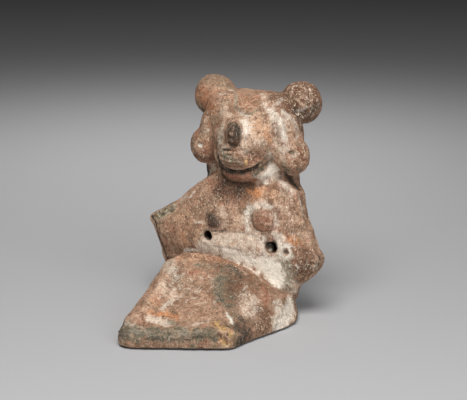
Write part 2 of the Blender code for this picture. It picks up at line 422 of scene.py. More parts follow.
@dataclass(frozen=True)
class PhotoCamera:
    """The photograph's camera: a long lens in front of the figurine, to its left and a little above."""

    azimuth: float = 24.0
    elevation: float = 14.0
    distance: float = 600.0
    pixels_per_mm: float = 2.41
    aims_at: tuple[float, float, float] = (9.99, 0.88, 54.8)
    film_width: float = 36.0
    sees: tuple[float, float] = (0.01, 20.0)  # nearest and farthest, in metres

    def axes(self) -> tuple[Vector, Vector, Vector]:
        """The picture's own directions.

        Returns:
            The directions to its right, to its top and back to the camera.
        """
        turn = math.radians(self.azimuth)
        rise = math.radians(self.elevation)
        back = Vector((math.sin(turn) * math.cos(rise), -math.cos(turn) * math.cos(rise), math.sin(rise)))
        right = Vector((math.cos(turn), math.sin(turn), 0.0))
        return right, back.cross(right), back

    def place(self) -> None:
        """Puts the camera into the scene and looks through it."""
        data = bpy.data.cameras.new("photo_camera")
        data.sensor_width = self.film_width
        data.lens = self.pixels_per_mm * self.distance / PHOTO_SIZE[0] * self.film_width
        data.clip_start, data.clip_end = self.sees
        camera = bpy.data.objects.new("photo_camera", data)
        bpy.context.scene.collection.objects.link(camera)
        back = self.axes()[2]
        camera.location = self.eye()
        camera.rotation_euler = back.to_track_quat("Z", "Y").to_euler()
        bpy.context.scene.camera = camera
        log.info("camera: %.0f mm lens at azimuth %.0f", data.lens, self.azimuth)

    def eye(self) -> Vector:
        """Where the camera stands."""
        return (Vector(self.aims_at) + self.axes()[2] * self.distance) * MM

    def ray(self, pixel: Pixel) -> Vector:
        """The direction from the camera through a pixel of the photograph.

        Args:
            pixel: The pixel, across and down.

        Returns:
            The direction, one long.
        """
        right, top, back = self.axes()
        focal = self.pixels_per_mm * self.distance
        across = (pixel[0] - PHOTO_SIZE[0] / 2) / focal
        down = (pixel[1] - PHOTO_SIZE[1] / 2) / focal
        return (right * across - top * down - back).normalized()


def smooth_step(share: np.ndarray) -> np.ndarray:
    """Eases from 0 to 1 as the share does, with 3t^2 - 2t^3."""
    share = np.clip(share, 0, 1)
    return share * share * (3 - 2 * share)


def mixed_bits(lattice: np.ndarray, seed: int) -> np.ndarray:
    """Gives each corner of a lattice a number from -1 to 1 that looks random.

    The three whole numbers of a corner are each multiplied by a large odd number, joined by exclusive or
    with the seed, and stirred by two more rounds of shifting and multiplying.

    Args:
        lattice: Whole numbers, three to a row.
        seed: Picks one of many patterns.

    Returns:
        One number for each row.
    """
    bits = lattice.astype(np.int64).astype(np.uint32)
    mixed = bits[..., 0] * np.uint32(0x8DA6B343) ^ bits[..., 1] * np.uint32(0xD8163841)
    mixed = mixed ^ bits[..., 2] * np.uint32(0xCB1AB31F) ^ np.uint32(seed * 0x9E3779B1 & 0xFFFFFFFF)
    for turn in (15, 13):
        mixed = (mixed ^ (mixed >> np.uint32(turn))) * np.uint32(0x2C1B3C6D)
    mixed = mixed ^ (mixed >> np.uint32(16))
    return mixed.astype(np.float64) / 0x7FFFFFFF - 1.0


def cloud(points: np.ndarray, grain: float, seed: int, octaves: int = 1) -> np.ndarray:
    """Smooth noise around 0.

    The noise at a point is the blend of the numbers at the eight corners of its lattice cell, by the smooth
    steps of its place in the cell. Each further octave has half the grain and half the height.

    Args:
        points: Places in millimetres, three to a row.
        grain: Size of the lattice cell in millimetres.
        seed: Picks one of many patterns.
        octaves: How many grains are added up.

    Returns:
        One number for each point, mostly from -1 to 1.
    """
    total = np.zeros(len(points))
    height = 1.0
    for octave in range(octaves):
        scaled = points / grain + 17.3 * octave
        corner = np.floor(scaled)
        share = scaled - corner
        share = smooth_step(share)
        for dx in (0, 1):
            for dy in (0, 1):
                for dz in (0, 1):
                    part = np.where(dx, share[:, 0], 1 - share[:, 0])
                    part = part * np.where(dy, share[:, 1], 1 - share[:, 1])
                    part = part * np.where(dz, share[:, 2], 1 - share[:, 2])
                    total += height * part * mixed_bits(corner + (dx, dy, dz), seed + octave)
        height /= 2
        grain /= 2
    return total


def pitting(points: np.ndarray, spacing: float, radius: float, seed: int) -> np.ndarray:
    """Round pits scattered one to a lattice cell.

    Each cell holds one pit at a random place in it. A point's depth is 1 at a pit's middle and falls to 0 at
    its radius along half a wave, and the deepest of the pits in the 27 cells around counts.

    Args:
        points: Places in millimetres, three to a row.
        spacing: Size of a cell in millimetres.
        radius: Largest radius of a pit in millimetres.
        seed: Picks one of many patterns.

    Returns:
        Depth from 0 to 1 for each point.
    """
    cell = np.floor(points / spacing)
    deepest = np.zeros(len(points))
    for dx in (-1, 0, 1):
        for dy in (-1, 0, 1):
            for dz in (-1, 0, 1):
                corner = cell + (dx, dy, dz)
                jitter = np.stack([mixed_bits(corner, seed + axis) for axis in range(3)], axis=1)
                middle = (corner + 0.5 + 0.45 * jitter) * spacing
                size = radius * (0.65 + 0.35 * mixed_bits(corner, seed + 3))
                reach = np.linalg.norm(points - middle, axis=1) / size
                depth = 0.5 + 0.5 * np.cos(np.pi * np.minimum(reach, 1.0))
                deepest = np.maximum(deepest, depth)
    return deepest


@dataclass(frozen=True)
class Mark:
    """A spot or a line on the skin, placed by pixels of the photograph and lying on what is seen there."""

    name: str
    path: tuple[Pixel, ...]
    width: float  # half the width, in millimetres
    height: float = 0.0  # millimetres out of the surface, or into it where negative
    rough: float = 0.0  # height of the broken grain inside the mark, in millimetres
    layers: float = 0.0  # height of thin level layers inside it, in millimetres
    ragged: float = 0.45  # how far noise moves its edge, as a share of the width
    flat: float = 0.0  # share of the width that is at full strength
    soft: float = SOFT  # how many widths its stain reaches
    lime: float = 0.0  # this and the rest say how much of each stain lies there, painted shade among them
    pale: float = 0.0
    ochre: float = 0.0
    rose: float = 0.0
    cream: float = 0.0
    moss: float = 0.0
    # Umber earth, and also painted shade
    umber: float = 0.0
    # Real soot, and also painted shadow
    soot: float = 0.0
    specks: float = 0.0


@dataclass
class ClaySkin:
    """The figurine's surface: the solid's form at a fine grain, with its relief, stains and painted shade.

    Its lengths and heights are in millimetres.
    """

    camera: PhotoCamera
    finish: ClayFinish = field(default_factory=ClayFinish)
    node: str = "figurine"
    grain: float = 0.57
    smoothing: int = 16  # passes
    step_in: float = 0.62  # share of the way to the mean of the neighbours
    step_out: float = 0.64  # share of the way back
    floor_grip: float = 0.4  # the smoothing is full from this height on
    hole_grip: float = 0.12  # share of the smoothing that reaches into the holes
    edge_wear: int = 8  # passes
    edge_step: float = 0.5  # share of the way to the mean
    edge_height: float = 3.0  # the bottom edge is worn up to here
    edge_full: float = 1.5  # and most up to here
    plain_foot: float = 0.2  # the relief starts above this height
    full_relief: float = 1.4  # and is full from here on
    bend_passes: int = 8  # the more, the wider the creases and edges that are found
    sharp_hollow: float = 0.45  # a bend inwards that counts as a full crease, with the full painted crease shade
    sharp_edge: float = 0.35  # a bend outwards that counts as a fully rubbed edge
    sole_height: float = 0.25  # the underside is what lies below this
    sole_slope: float = -0.7  # and faces down more than this
    rim_lift: float = 0.65
    rim_height: float = 3.5  # up the sides, the lift ends here
    rim_passes: int = 60  # the more, the further in under the figurine it reaches
    rim_soot: float = 0.9  # how black the painted contact shadow along the foot is, where the photograph shows a black line
    rim_shadow_full: float = 0.7  # the painted shadow is full up to this height
    rim_shadow_end: float = 1.3  # and gone from here on
    hole_middles: tuple[Pixel, ...] = ((206.6, 235.3), (271.0, 247.5))
    hole_beside: Pixel = (-12.0, -6.0)  # from a hole's middle to whole clay beside it
    hole_guard: float = 4.2  # nearer than this to its middle line, the smoothing spares it
    hole_depth: float = 14.0
    hole_radius: float = 3.4  # the painted shade ends at this distance
    hole_side: float = 0.6  # how far in from its radius the painted shade is full
    hole_lip: float = 0.7  # how deep the painted shade starts
    hole_fade: float = 1.2  # and how much deeper it is full
    edges: np.ndarray = field(init=False)
    tree: BVHTree = field(init=False)
    holes: list[np.ndarray] = field(init=False)

    def build(self) -> bpy.types.Object:
        """Makes the skin and dresses it.

        Returns:
            The finished object.
        """
        skin = self.fine_copy()
        mesh = skin.data
        self.edges = self.read(mesh.edges, "vertices", 2, np.int32)
        self.holes = self.found_holes()
        points = self.smoothed(self.read(mesh.vertices, "co", 3) / MM)
        self.write(mesh, points)
        self.tree = self.ray_tree(mesh, points)
        normals = self.read(mesh.vertices, "normal", 3)
        height, stains = self.relief(points, normals)
        above_foot = np.clip((points[:, 2] - self.plain_foot) / (self.full_relief - self.plain_foot), 0, 1)
        points = points + normals * (height * above_foot)[:, None]
        points = self.lifted_rim(points, normals)
        bend = self.bend(points, normals)
        # Painted shade in the creases; the rubbed edges are paler
        stains[Stain.CREASE_SHADE] = np.clip(bend / self.sharp_hollow, 0, 1)
        stains[Stain.RUBBED] = np.clip(-bend / self.sharp_edge, 0, 1)
        # Painted shade, black, inside the two round holes
        self.paint_hole_shade(points, stains)
        # Painted contact shadow: the foot is black up to a little height above the floor
        foot = smooth_step((self.rim_shadow_end - points[:, 2]) / (self.rim_shadow_end - self.rim_shadow_full))
        stains[Stain.SOOT_AND_SHADE] = np.maximum(stains[Stain.SOOT_AND_SHADE], self.rim_soot * foot)
        self.write(mesh, self.fitted(points))
        for stain, share in stains.items():
            layer = mesh.attributes.new(stain.value, "FLOAT", "POINT")
            layer.data.foreach_set("value", np.clip(share, 0, 1).astype(np.float32))
        mesh.shade_smooth()
        mesh.materials.clear()
        mesh.materials.append(self.finish.material())
        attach(skin, "root")
        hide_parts(self.node)
        log.info("clay skin: %d corners", len(points))
        return skin

    def fine_copy(self) -> bpy.types.Object:
        """Copies the solid and rebuilds it from small even squares.

        Returns:
            The new object.
        """
        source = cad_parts[self.node]
        merged = bmesh.new()
        merged.from_mesh(source.data)
        bmesh.ops.remove_doubles(merged, verts=merged.verts, dist=0.001 * MM)
        coarse = bpy.data.meshes.new("coarse")
        merged.to_mesh(coarse)
        merged.free()
        shell = bpy.data.objects.new("coarse", coarse)
        bpy.context.scene.collection.objects.link(shell)
        remesh = shell.modifiers.new("remesh", "REMESH")
        remesh.mode = "VOXEL"
        remesh.voxel_size = self.grain * MM
        graph = bpy.context.evaluated_depsgraph_get()
        fine = bpy.data.meshes.new_from_object(shell.evaluated_get(graph))
        bpy.data.objects.remove(shell)
        fine.name = "clay_skin"
        skin = bpy.data.objects.new("clay_skin", fine)
        bpy.context.scene.collection.objects.link(skin)
        return skin

    @staticmethod
    def read(
        items: bpy.types.bpy_prop_collection, key: str, width: int, kind: type = np.float64
    ) -> np.ndarray:
        """Reads numbers from a mesh.

        Args:
            items: The mesh's corners, edges or the like.
            key: What is read.
            width: How many numbers each of them has.
            kind: The type of the numbers.

        Returns:
            One row for each.
        """
        flat = np.empty(len(items) * width, dtype=kind)
        items.foreach_get(key, flat)
        return flat.reshape(-1, width)

    @staticmethod
    def ray_tree(mesh: bpy.types.Mesh, points: np.ndarray) -> BVHTree:
        """Prepares a mesh for finding where rays meet it, with its corners at the given places."""
        faces = [tuple(face.vertices) for face in mesh.polygons]
        return BVHTree.FromPolygons([tuple(point) for point in points], faces)

    @staticmethod
    def write(mesh: bpy.types.Mesh, points: np.ndarray) -> None:
        """Moves the mesh's corners to places in millimetres."""
        mesh.vertices.foreach_set("co", (points * MM).ravel())
        mesh.update()

    def around(self, values: np.ndarray) -> np.ndarray:
        """The mean of the neighbours of each corner.

        Args:
            values: One row for each corner.

        Returns:
            The mean over the corners that share an edge with it.
        """
        first, second = self.edges[:, 0], self.edges[:, 1]
        count = np.bincount(self.edges.ravel(), minlength=len(values))
        total = np.empty_like(values)
        for axis in range(values.shape[1]):
            column = values[:, axis]
            total[:, axis] = np.bincount(first, column[second], len(values))
            total[:, axis] += np.bincount(second, column[first], len(values))
        return total / count[:, None]

    def smoothed(self, points: np.ndarray) -> np.ndarray:
        """Smooths the facets away, but not the holes or the flat underside, and wears the bottom edge round.

        Each pass moves a corner a share of the way to the mean of its neighbours, and then a slightly larger
        share back out, so that the form doesn't shrink. The passes for the bottom edge only move it in.

        Args:
            points: The corners in millimetres.

        Returns:
            The smoothed corners.
        """
        deep = np.zeros(len(points), bool)
        for middle in self.holes:
            away, depth = self.from_hole(points, middle)
            deep |= (away < self.hole_guard) & (np.abs(depth) < self.hole_depth)
        free = np.where(deep, self.hole_grip, 1.0) * np.clip(points[:, 2] / self.floor_grip, 0, 1)
        for _ in range(self.smoothing):
            points = points + (self.around(points) - points) * (self.step_in * free)[:, None]
            points = points - (self.around(points) - points) * (self.step_out * free)[:, None]
        low = np.clip((self.edge_height - points[:, 2]) / (self.edge_height - self.edge_full), 0, 1)
        for _ in range(self.edge_wear):
            points = points + (self.around(points) - points) * (self.edge_step * low)[:, None]
        points[:, 2] = np.maximum(points[:, 2], 0.0)
        return points

    def found_holes(self) -> list[np.ndarray]:
        """Finds where the two round holes open, level with the solid's clay beside them.

        Returns:
            The middle of each opening, in millimetres.
        """
        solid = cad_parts[self.node].data
        tree = self.ray_tree(solid, self.read(solid.vertices, "co", 3))
        eye = self.camera.eye()
        places = []
        for across, down in self.hole_middles:
            beside = (across + self.hole_beside[0], down + self.hole_beside[1])
            clay = tree.ray_cast(eye, self.camera.ray(beside))[0]
            ray = self.camera.ray((across, down))
            places.append(np.array(eye + ray * ((clay.y - eye.y) / ray.y)) / MM)
        return places

    @staticmethod
    def from_hole(points: np.ndarray, middle: np.ndarray) -> tuple[np.ndarray, np.ndarray]:
        """How far corners lie from a hole's middle line, and how far behind its opening."""
        return np.hypot(points[:, 0] - middle[0], points[:, 2] - middle[2]), points[:, 1] - middle[1]

    def found(self, path: Sequence[Pixel]) -> np.ndarray:
        """Finds the places on the skin that are seen along a path in the photograph.

        Args:
            path: One pixel, or the corners of a line.

        Returns:
            Places in millimetres, about a pixel apart.
        """
        pixels = [path[0]]
        for start, end in zip(path, path[1:]):
            steps = max(1, round(math.dist(start, end)))
            for step in range(1, steps + 1):
                share = step / steps
                across = start[0] + share * (end[0] - start[0])
                down = start[1] + share * (end[1] - start[1])
                pixels.append((across, down))
        eye = self.camera.eye() / MM
        places = []
        for pixel in pixels:
            place = self.tree.ray_cast(eye, self.camera.ray(pixel))[0]
            if place is not None:
                places.append(tuple(place))
        return np.array(places).reshape(-1, 3)

    def reach(self, mark: Mark, points: np.ndarray, order: int) -> tuple[np.ndarray, np.ndarray]:
        """How far the corners near a mark lie from its path, as a share of its width.

        Noise stretches the distance, so that the edge is ragged.

        Args:
            mark: The mark.
            points: The corners in millimetres.
            order: The mark's number, which picks the noise.

        Returns:
            The numbers of the corners near it, and each one's distance.
        """
        places = self.found(mark.path)
        if not len(places):
            log.info("mark %s at pixel %s misses the skin", mark.name, mark.path[0])
            return np.zeros(0, int), np.zeros(0)
        margin = mark.width * mark.soft * (1 + mark.ragged)
        low, high = places.min(axis=0) - margin, places.max(axis=0) + margin
        near = np.flatnonzero(((points > low) & (points < high)).all(axis=1))
        close = points[near]
        away = np.full(len(close), np.inf)
        for place in places:
            away = np.minimum(away, ((close - place) ** 2).sum(axis=1))
        away = np.sqrt(away) / mark.width
        lumps = cloud(close, grain=max(1.2, mark.width * 0.7), seed=400 + order, octaves=2)
        return near, away * (1 + mark.ragged * lumps)

    def relief(self, points: np.ndarray, normals: np.ndarray) -> tuple[np.ndarray, dict[Stain, np.ndarray]]:
        """Adds up the clay's own unevenness, the stains of the unseen sides, and all the marks.

        A mark moves the surface up to its own edge, and its stains reach further. Where stains of one kind
        meet, the stronger one counts.

        Args:
            points: The corners in millimetres.
            normals: The way that each corner faces.

        Returns:
            How far each corner moves outwards in millimetres, and how much of each stain it has.
        """
        height = self.unevenness(points)
        stains = self.unseen_stains(points, normals)
        for order, mark in enumerate(MARKS):
            near, away = self.reach(mark, points, order)
            pressed = smooth_step((1 - away) / (1 - mark.flat))
            height[near] += pressed * mark.height
            if mark.rough:
                grains = cloud(points[near], grain=1.4, seed=300 + order, octaves=2)
                height[near] += pressed * mark.rough * grains
            if mark.layers:
                drawn_wide = points[near] * (0.22, 0.22, 1.0)
                sheets = cloud(drawn_wide, grain=1.1, seed=500, octaves=2)
                height[near] += pressed * mark.layers * sheets
            soaked = smooth_step((mark.soft - away) / (mark.soft - mark.flat))
            for stain in Stain:
                share = getattr(mark, stain.value, 0.0)
                if share:
                    stains[stain][near] = np.maximum(stains[stain][near], share * soaked)
        return height, stains

    @staticmethod
    def unevenness(points: np.ndarray) -> np.ndarray:
        """The hand-made surface: broad and fine swellings, and pits, the wide ones where the clay is worn.

        Args:
            points: The corners in millimetres.

        Returns:
            How far each corner moves outwards in millimetres.
        """
        worn = np.clip(0.5 + cloud(points, grain=12.0, seed=21, octaves=2), 0, 1)
        height = 0.30 * cloud(points, grain=9.0, seed=3, octaves=2)
        height += 0.16 * cloud(points, grain=2.6, seed=11, octaves=2)
        height -= 0.28 * worn * pitting(points, spacing=3.1, radius=1.0, seed=31)
        height -= 0.16 * (1 - 0.6 * worn) * pitting(points, spacing=1.9, radius=0.75, seed=37)
        height += 0.10 * cloud(points, grain=1.2, seed=51, octaves=2)
        return height

    def unseen_stains(self, points: np.ndarray, normals: np.ndarray) -> dict[Stain, np.ndarray]:
        """Stains the sides that face away from the camera.

        The photograph shows nothing of them, so there noise alone spreads the same stains, and the foot of
        the skirt is greenish all round.

        Args:
            points: The corners in millimetres.
            normals: The way that each corner faces.

        Returns:
            How much of each stain each corner has.
        """
        facing = normals @ np.array(self.camera.axes()[2])
        unseen = np.clip(0.35 - 1.6 * facing, 0, 1)
        stains = {stain: np.zeros(len(points)) for stain in Stain}
        spreads = (
            (Stain.LIME, 0.65, 10.0),
            (Stain.PALE, 0.9, 12.0),
            (Stain.OCHRE, 0.65, 13.0),
            (Stain.ROSE, 0.7, 11.0),
            (Stain.UMBER_AND_SHADE, 0.8, 9.0),
        )
        for order, (stain, most, grain) in enumerate(spreads):
            spread = np.clip(1.4 * cloud(points, grain, seed=61 + 5 * order, octaves=2), 0, 1)
            stains[stain] = unseen * most * spread
        top = 9.0 + 2.5 * cloud(points, grain=5.0, seed=91, octaves=2)
        foot = np.clip((top - points[:, 2]) / 3.0, 0, 1)
        stains[Stain.MOSS] = unseen * 0.8 * foot * (points[:, 2] > 2.0)
        return stains

    def bend(self, points: np.ndarray, normals: np.ndarray) -> np.ndarray:
        """How far the mean of each corner's surroundings lies outside the surface.

        Args:
            points: The corners in millimetres.
            normals: The way that each corner faces.

        Returns:
            Millimetres, above 0 in a crease and below 0 on an edge.
        """
        wide = points
        for _ in range(self.bend_passes):
            wide = self.around(wide)
        return ((wide - points) * normals).sum(axis=1)

    def lifted_rim(self, points: np.ndarray, normals: np.ndarray) -> np.ndarray:
        """Lifts the rim of the underside a little off the floor, for the dark gap that the photograph shows.

        The share of the lift spreads inwards from the sides over the underside by repeated means, and falls
        to 0 up the sides with the square of the height.

        Args:
            points: The corners in millimetres.
            normals: The way that each corner faces.

        Returns:
            The corners with the rim lifted and the middle of the underside still flat at 0.
        """
        under = (points[:, 2] < self.sole_height) & (normals[:, 2] < self.sole_slope)
        share = np.where(under, 0.0, 1.0)
        for _ in range(self.rim_passes):
            share = np.where(under, self.around(share[:, None])[:, 0], 1.0)
        up = np.clip(1 - points[:, 2] / self.rim_height, 0, 1) ** 2
        lifted = points.copy()
        lifted[:, 2] += self.rim_lift * smooth_step(share) * up
        return lifted

    def paint_hole_shade(self, points: np.ndarray, stains: dict[Stain, np.ndarray]) -> None:
        """Paints black shade into the insides of the two round holes, apart from the greenish crumbs stuck in
        them.

        Args:
            points: The corners in millimetres.
            stains: The shares of each stain, which are changed.
        """
        for middle in self.holes:
            away, depth = self.from_hole(points, middle)
            inside = smooth_step((self.hole_radius - away) / self.hole_side) * (depth < self.hole_depth)
            inside *= smooth_step((depth - self.hole_lip) / self.hole_fade)
            inside *= 1 - stains[Stain.MOSS]
            stains[Stain.SOOT_AND_SHADE] = np.maximum(stains[Stain.SOOT_AND_SHADE], inside)

    def fitted(self, points: np.ndarray) -> np.ndarray:
        """Brings the skin back to exactly the solid's box.

        Args:
            points: The corners in millimetres.

        Returns:
            The corners, each axis stretched by the small amount that it needs.
        """
        low, high = (np.array(corner) / MM for corner in CAD_BOX)
        found_low, found_high = points.min(axis=0), points.max(axis=0)
        return low + (points - found_low) / (found_high - found_low) * (high - low)


def several(name: str, paths: Sequence[tuple[Pixel, ...]], width: float, **look: float) -> tuple[Mark, ...]:
    """Several marks of one kind, such as scratches that were made together.

    Args:
        name: What they are.
        paths: The path of each.
        width: Half the width of each, in millimetres.
        look: The other values of a mark, which they share.

    Returns:
        The marks.
    """
    return tuple(Mark(f"{name} {number}", path, width, **look) for number, path in enumerate(paths, 1))


# A mark's number in the whole list picks its noise, so the groups and the marks in them keep their order
LEFT_BUN = (
    Mark("warm side", ((202, 92), (204, 101), (212, 105)), 4.4, ochre=0.5, rose=0.6, umber=0.5),
    Mark("grey top", ((212, 80), (222, 79), (231, 86)), 3.8, moss=0.45, umber=0.35),
    Mark("rosy right", ((218, 96), (224, 104)), 3.4, rose=0.35, pale=0.4),
    Mark("lime beside it", ((230, 89.5), (233.5, 90)), 0.8, soft=CRISP, lime=1.0, moss=0.4),
    Mark("lime", ((221, 94), (227, 93)), 0.8, lime=0.6),
    # Painted shade on the underside of the left bun
    Mark("dark underside", ((201, 107), (207, 114)), 1.6, umber=0.7, moss=0.4),
    *several("pit", (((205, 88.5),), ((202.5, 93),)), 0.5, height=-0.4, soft=CRISP, soot=0.6),
    Mark("third pit", ((220, 94),), 0.5, height=-0.4, soft=CRISP, umber=0.8),
)

RIGHT_BUN = (
    Mark("rough skin", ((298, 96), (308, 102)), 8.5, rough=0.5, umber=1.0, rose=0.4, specks=0.8, flat=0.6),
    *several("stroke", (((290, 92), (293, 88)), ((297, 85), (302, 86)), ((304, 88), (308, 92)),
        ((310, 90), (313, 96)), ((299, 91), (304, 94)), ((315, 98), (316, 105)), ((294, 97), (298, 101)),
        ((307, 97), (311, 101)), ((303, 105), (309, 103)), ((289, 99), (291, 104)), ((312, 104), (309, 109))),
        0.32, soft=1.4, lime=0.5, height=0.15),
    # Painted shade under the right bun
    Mark("dark underside", ((296, 113), (308, 115), (317, 107)), 3.2, umber=1.0, soot=0.5),
    Mark("deposit below it", ((298, 110.5), (303, 110), (308, 107)), 0.6, lime=0.7),
    # Painted shadow in the gap behind the right lock
    Mark("dark gap behind the right lock", ((298, 118), (301, 128)), 1.3, umber=0.9, soot=0.5),
)

FOREHEAD = (
    Mark("join of the left bun", ((236.5, 92), (236, 100), (235.5, 109)), 0.8, height=-0.45, lime=0.25,
         moss=0.7),
    Mark("warm middle", ((243, 100), (256, 102)), 4.8, ochre=0.25, umber=0.35, rose=0.3, rough=0.2),
    Mark("orange spot", ((246, 98), (249, 101)), 0.9, ochre=0.8),
    Mark("right border", ((263, 94), (264, 104)), 1.6, lime=0.3, specks=0.7),
    Mark("rosy right", ((269, 99), (276, 102)), 2.6, rose=0.3, pale=0.3),
    Mark("pale left", ((225, 106), (229, 118)), 4.0, pale=0.5, lime=0.2),
    Mark("thick lime by the brow", ((270, 111), (274, 114), (278, 119)), 1.9, height=0.15, flat=0.3,
         lime=0.75),
    Mark("thin lime above it", ((264.5, 103), (267, 109)), 1.6, lime=0.5),
    Mark("lime below the right bun", ((278, 103), (283, 99)), 1.1, lime=0.5),
    *several("speck in the lime", (((276.3, 111.3),), ((275.6, 116),)), 0.5, height=-0.3, soft=CRISP,
        soot=1.0, ragged=0.1),
    Mark("third speck in the lime", ((272, 115),), 0.45, height=-0.3, soft=CRISP, soot=0.6, ragged=0.1),
)

RIGHT_LOCK = (
    Mark("valley beside the face", ((281, 121), (283, 130), (284, 139)), 2.0, height=-0.25, lime=0.9),
    Mark("haze of the valley", ((278, 124), (279, 140), (282, 150)), 3.4, lime=0.55, pale=0.4, specks=0.6),
    Mark("edge of the cheek", ((277, 124), (277.5, 132), (275, 141), (270, 149), (268, 155)), 1.0,
         height=-0.3, lime=0.35),
    Mark("rosy lock", ((289, 120), (291, 130), (294, 141)), 2.0, rose=0.35, pale=0.55),
    Mark("lime on the lock's edge", ((294.5, 121), (297.5, 130), (298.5, 137)), 1.2, lime=0.5),
    Mark("lime at the top", ((284, 112), (289, 116)), 1.4, lime=0.8),
    Mark("hairline", ((238, 108), (241, 112), (247, 114), (254, 112.5), (260, 108.5)), 0.7, height=-0.4,
         moss=0.8, soot=0.2),
)

CHEEK = (
    Mark("lime at the root of the nose", ((241, 112.5), (244, 114), (248, 117.5)), 1.1, lime=0.6),
    Mark("orange side", ((258, 126), (265, 131), (270, 138)), 4.0, ochre=0.5, pale=0.6),
    Mark("brightest orange", ((266, 134), (270, 139), (271, 142)), 1.7, ochre=0.9),
    Mark("pale middle", ((262, 141), (252, 140), (244, 146)), 3.4, pale=0.9, lime=0.2),
    Mark("pale brow", ((252, 116), (262, 117), (268, 121)), 2.6, pale=0.6),
    Mark("red lower side", ((249, 154), (262, 152), (264, 147)), 3.8, rough=0.4, rose=0.5, umber=0.55,
         specks=0.8),
    Mark("first dark grain", ((252, 154),), 0.8, height=-0.5, soft=CRISP, umber=0.9),
    Mark("second dark grain", ((258, 156.5),), 0.6, height=-0.5, soft=CRISP, umber=0.9),
    Mark("third dark grain", ((258.5, 164),), 0.7, height=-0.5, soft=CRISP, soot=0.9),
    Mark("lime beside the nose", ((245.5, 122), (247.5, 128), (246, 134)), 2.0, height=0.1, lime=0.85),
    Mark("speckled lime below it", ((243, 137), (247, 141)), 1.5, lime=0.4),
)

NOSE = (
    Mark("broken front", ((230, 127.5), (235, 127), (236.5, 132), (236, 139), (231, 139), (233, 144)), 3.0,
         height=-0.35, rough=0.6, flat=0.7, soft=CRISP, ragged=0.15, umber=1.0, soot=0.66),
    Mark("bridge", ((238, 119), (235, 122.5)), 1.4, soft=CRISP, rose=0.75),
    Mark("left contour", ((236, 117), (229.5, 121.5), (225.5, 128), (225, 136), (226, 143)), 0.6, height=-0.4,
         soft=CRISP, umber=0.9),
    Mark("right edge", ((242, 126), (242.5, 134), (242, 140), (239, 147)), 0.5, height=-0.3, soft=CRISP,
         moss=0.4, soot=0.4),
    Mark("green hollow beside it", ((221, 128), (220, 138), (220, 147)), 2.2, moss=0.6, lime=0.35),
    Mark("dark left cheek", ((217, 143), (216.5, 152), (219, 160)), 1.0, height=-0.4, soot=0.6, umber=0.4),
)

MUZZLE = (
    Mark("upper lip", ((222, 148), (226, 147), (232, 147.5)), 0.8, height=0.5, soft=CRISP, pale=0.9,
         lime=0.3),
    Mark("lower lip", ((225, 152.2), (231, 152.4)), 0.7, height=0.45, soft=CRISP, pale=0.7),
    # The slits and the wrinkles below them are darkened with painted shade in their grooves
    Mark("upper slit of the mouth", ((223.3, 150), (226, 149.8), (229.5, 150.6)), 0.6, height=-0.8,
         soft=CRISP, soot=0.55, ragged=0.1),
    Mark("lower slit of the mouth", ((224.6, 154), (230.5, 154.8)), 0.5, height=-0.7, soft=CRISP, soot=0.5,
         ragged=0.1),
    *several("wrinkle", (((231, 151), (238, 151), (246, 149.5)), ((231, 155), (239, 156.3), (247, 155))), 0.6,
        height=-0.35, soft=1.3, umber=0.5),
    Mark("third wrinkle", ((221.5, 156.5), (228, 159.5), (238, 161), (246, 160)), 0.65, height=-0.45,
         soft=1.3, soot=0.45),
    Mark("fourth wrinkle", ((222.5, 161), (229, 163.6), (239, 164.8)), 0.6, height=-0.4, soft=1.3, soot=0.4),
    Mark("fifth wrinkle", ((226, 165), (233, 167), (241, 167.4)), 0.5, height=-0.3, soft=1.3, soot=0.35),
    Mark("grey left", ((222, 153), (228, 160), (240, 164)), 2.4, moss=0.6, umber=0.75, specks=0.7),
    Mark("rosy middle", ((238, 155), (245, 153)), 1.8, rose=0.35, pale=0.4),
    # Painted shadow under the muzzle's overhang, along a groove
    Mark("overhang", ((217.5, 158.5), (220, 163.3), (224, 167.3), (230, 170.3), (237, 171.5), (245, 171.3),
         (252, 169.3), (257.5, 166.5)), 1.5, height=-0.9, flat=0.4, soft=1.25, soot=1.0, ragged=0.1),
    Mark("right end of the overhang", ((259, 165.5), (263.5, 162), (267, 158)), 1.2, height=-0.5, soft=1.5,
         soot=0.45, moss=0.4),
    Mark("shadow below it", ((222, 168), (230, 172), (240, 173.5), (250, 171.5), (258, 168)), 1.2, soot=0.7,
         umber=0.9),
    Mark("yellow fleck", ((246.3, 161.6), (247, 164.3)), 0.9, height=0.2, soft=CRISP, cream=1.0, ochre=0.8),
    Mark("red fleck", ((240.3, 163.6),), 0.6, soft=CRISP, rose=1.0, ochre=0.4),
)

JAW = (
    Mark("left shadow", ((218.5, 161), (221, 166.5), (226, 170.5), (232, 173)), 1.3, soft=1.5, soot=1.0,
         umber=1.0),
    Mark("red front", ((228, 176), (236, 177.5), (249, 175.5)), 2.1, rose=1.0, umber=0.2),
    Mark("specks", ((238, 176.5), (248, 174.5)), 1.2, lime=0.15, rose=0.4),
    # Painted shade along the lower rim of the jaw
    Mark("dark rim", ((221, 168), (223, 176), (230, 182), (240, 184), (250, 182.5)), 1.2, height=-0.3,
         soot=0.65, umber=0.8),
    Mark("shadowed throat", ((222, 182), (236, 187.5), (250, 185)), 2.6, soot=0.6, umber=0.9),
    # Red-brown clay, partly painted shade running down from the throat
    Mark("dark breastbone", ((224, 190), (235, 193), (243, 191)), 4.2, umber=1.0, rose=0.7, soot=0.48,
         specks=0.5),
    Mark("grey end", ((254, 176), (261, 170), (267, 163)), 1.4, moss=0.7, soot=0.45),
)

